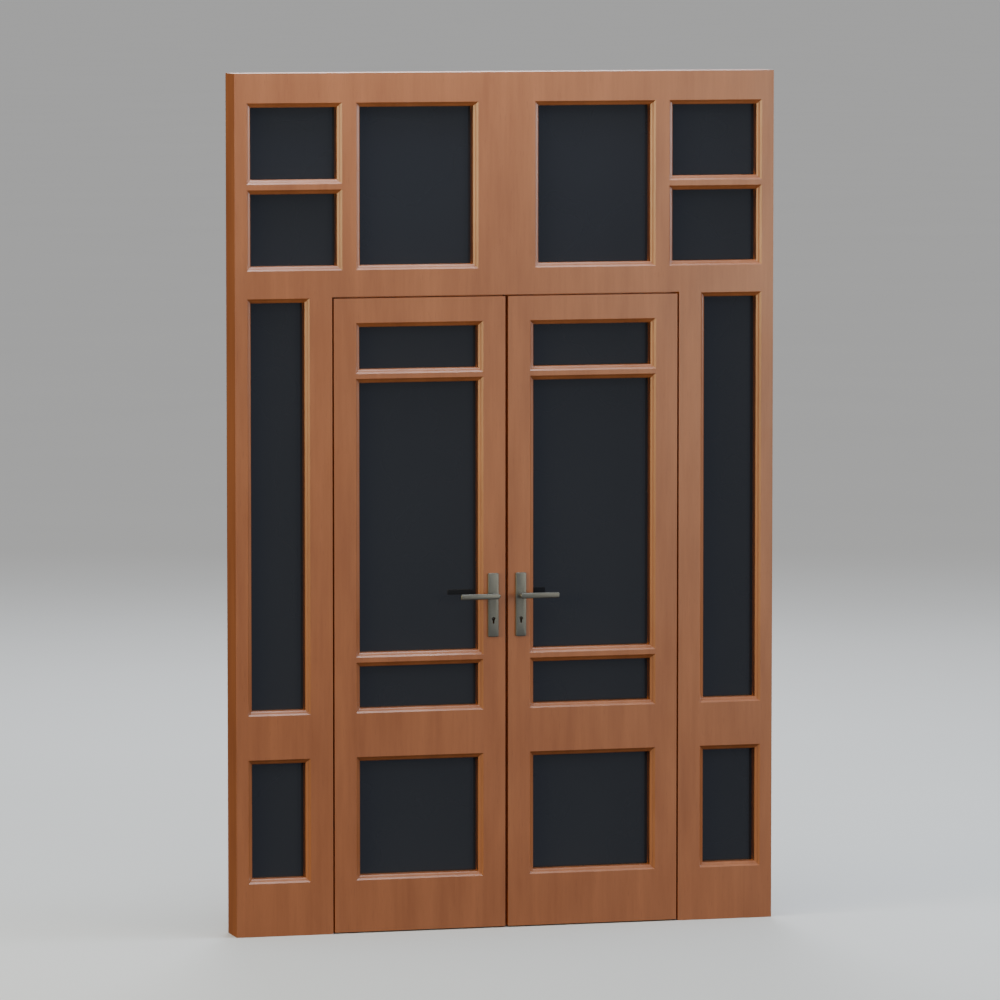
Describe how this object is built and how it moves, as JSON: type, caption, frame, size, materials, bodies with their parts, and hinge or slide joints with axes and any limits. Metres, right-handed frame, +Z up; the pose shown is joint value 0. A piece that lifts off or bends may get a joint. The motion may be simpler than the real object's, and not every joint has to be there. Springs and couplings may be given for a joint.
{
  "type": "glazed timber double door with side lights and transom lights",
  "caption": "Glazed timber double door in a frame with side lights and transom lights; hinged leaves with lever handles on long plates.",
  "frame": {"origin": "floor level on the wall face of the left jamb, at the middle of the jamb's depth", "axes": "+X along the wall towards the right jamb, +Y from the front face to the back, +Z up"},
  "size_m": [1.75, 0.168, 2.7],
  "materials": {
    "timber": "satin varnish",
    "tinted_glass": "dark tinted, polished",
    "satin_steel": "satin"
  },
  "bodies": {
    "frame": {"frame_hinges": "satin_steel", "head_rail": "timber", "left_jamb": "timber", "left_mullion": "timber", "right_jamb": "timber", "right_mullion": "timber", "side_light_beads": "timber", "side_light_bottom_rails": "timber", "side_light_glass": "tinted_glass", "side_light_middle_rails": "timber", "transom_bars": "timber", "transom_beads": "timber", "transom_centre_post": "timber", "transom_glass": "tinted_glass", "transom_posts": "timber", "transom_rail": "timber"},
    "left_leaf": {"left_back_plate": "satin_steel", "left_bottom_rail": "timber", "left_front_plate": "satin_steel", "left_glazing_bars": "timber", "left_hinge_stile": "timber", "left_leaf_beads": "timber", "left_leaf_glass": "tinted_glass", "left_leaf_hinges": "satin_steel", "left_lock": "satin_steel", "left_meeting_stile": "timber", "left_middle_rail": "timber", "left_top_rail": "timber"},
    "right_leaf": {"right_back_plate": "satin_steel", "right_bottom_rail": "timber", "right_front_plate": "satin_steel", "right_glazing_bars": "timber", "right_hinge_stile": "timber", "right_leaf_beads": "timber", "right_leaf_glass": "tinted_glass", "right_leaf_hinges": "satin_steel", "right_lock": "satin_steel", "right_meeting_stile": "timber", "right_middle_rail": "timber", "right_top_rail": "timber"},
    "left_handle": {"left_back_lever": "satin_steel", "left_front_lever": "satin_steel", "left_spindle": "satin_steel"},
    "right_handle": {"right_back_lever": "satin_steel", "right_front_lever": "satin_steel", "right_spindle": "satin_steel"}
  },
  "joints": [
    {"name": "left_leaf_swing", "type": "hinge", "parent": "frame", "child": "left_leaf", "pos_m": [0.306, 0.015, 0], "axis": [0, 0, 1], "range_deg": [0, 90]},
    {"name": "right_leaf_swing", "type": "hinge", "parent": "frame", "child": "right_leaf", "pos_m": [1.444, 0.015, 0], "axis": [0, 0, -1], "range_deg": [0, 90]},
    {"name": "left_lever_turn", "type": "hinge", "parent": "left_leaf", "child": "left_handle", "pos_m": [0.83, 0, 1.056], "axis": [0, -1, 0], "range_deg": [0, 40], "stiffness_Nm_per_rad": 2, "springref_deg": -17.19},
    {"name": "right_lever_turn", "type": "hinge", "parent": "right_leaf", "child": "right_handle", "pos_m": [0.92, 0, 1.056], "axis": [0, 1, 0], "range_deg": [0, 40], "stiffness_Nm_per_rad": 2, "springref_deg": -17.19}
  ]
}
